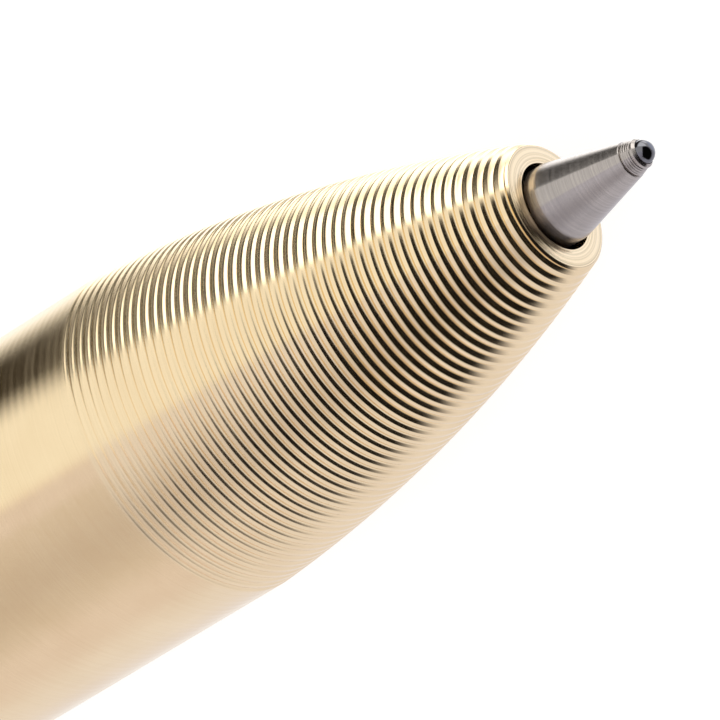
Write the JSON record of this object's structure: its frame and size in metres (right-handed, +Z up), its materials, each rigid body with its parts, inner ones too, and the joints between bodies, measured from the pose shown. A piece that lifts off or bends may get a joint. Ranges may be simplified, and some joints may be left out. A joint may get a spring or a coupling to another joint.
{
  "type": "bolt action pen",
  "caption": "Bolt action ballpoint pen: turned brass barrel with a grooved nose, replaceable refill, side bolt in a track and a screwed clip.",
  "frame": {"origin": "centre of the flat tail face, on the pen axis", "axes": "+X along the pen axis towards the writing tip, +Z up with the pen lying on its side, its barrel and its clip's edge on the surface"},
  "size_m": [0.1381, 0.0138, 0.0162],
  "materials": {
    "brass": "bright turned, pale champagne gold with fine turning lines",
    "rubber": "matte moulded",
    "clip_steel": "brushed lengthwise, broken edges",
    "screw_steel": "dark satin",
    "spring_steel": "drawn wire",
    "bolt_steel": "turned satin",
    "ball": "mirror polished",
    "tip_steel": "turned, with fine rings round it",
    "refill_brass": "turned satin",
    "refill_metal": "plated satin",
    "refill_plastic": "moulded"
  },
  "bodies": {
    "barrel": {"front_barrel": "brass", "rear_barrel": "brass", "joint_o_ring": "rubber", "end_cap": "brass", "end_cap_o_ring": "rubber", "clip": "clip_steel", "clip_screw_rear": "screw_steel", "clip_screw_front": "screw_steel", "return_spring": "spring_steel"},
    "refill": {"writing_tip": "tip_steel", "refill_sleeve": "refill_brass", "refill_tube": "refill_metal", "refill_end_plug": "refill_plastic"},
    "ball": {"writing_ball": "ball"},
    "bolt": {"bolt_plunger": "bolt_steel", "plunger_o_ring_front": "rubber", "plunger_o_ring_rear": "rubber", "bolt_stud": "bolt_steel", "bolt_knob": "brass", "plunger_set_screw": "screw_steel"}
  },
  "joints": [
    {"name": "refill_slide", "type": "slide", "parent": "barrel", "child": "refill", "axis": [1, 0, 0], "range_m": [-0.007, 0], "deforming": ["return_spring"]},
    {"name": "bolt_turn", "type": "hinge", "parent": "refill", "child": "bolt", "pos_m": [0.02998, 0, 0], "axis": [1, 0, 0], "range_deg": [-35, 0]},
    {"name": "ball_roll", "type": "hinge", "parent": "refill", "child": "ball", "pos_m": [0.13773, 0, 0], "axis": [0, 1, 0], "continuous": true}
  ]
}
